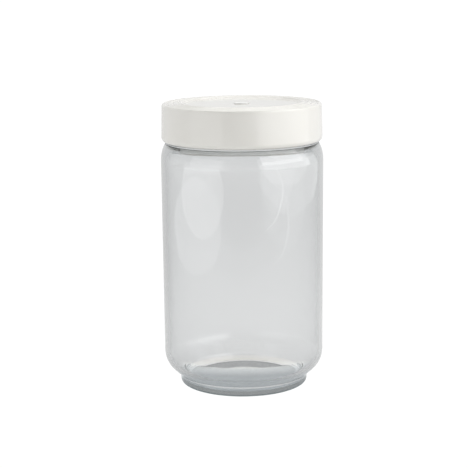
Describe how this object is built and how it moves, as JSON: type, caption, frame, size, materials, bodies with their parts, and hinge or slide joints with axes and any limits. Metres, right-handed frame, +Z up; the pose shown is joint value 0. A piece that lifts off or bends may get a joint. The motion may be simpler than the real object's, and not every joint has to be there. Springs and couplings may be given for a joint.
{
  "type": "specimen jar",
  "caption": "Clear cylindrical glass jar with a stacking foot and a push-on glazed ceramic lid, ridged round a recessed disc and closed by a small centre plug.",
  "frame": {"origin": "centre of the foot's contact ring, on the surface the jar stands on", "axes": "+Z up along the jar's axis; the jar is round, so +X and +Y are free"},
  "size_m": [0.114, 0.114, 0.2008],
  "materials": {
    "clear_glass": "clear, smooth, faintly grey-green where thick",
    "lid_glaze": "cream-white gloss glaze",
    "seal_silicone": "frosted translucent silicone, soft sheen",
    "plug_silicone": "white silicone, soft sheen"
  },
  "bodies": {
    "jar": {"glass_jar": "clear_glass"},
    "lid": {"lid": "lid_glaze", "lid_seal": "seal_silicone"},
    "plug": {"centre_plug": "plug_silicone"}
  },
  "joints": [
    {"name": "lid_lift", "type": "slide", "parent": "jar", "child": "lid", "axis": [0, 0, 1], "range_m": [0, 0.06]},
    {"name": "plug_pull", "type": "slide", "parent": "lid", "child": "plug", "axis": [0, 0, 1], "range_m": [0, 0.016]}
  ]
}
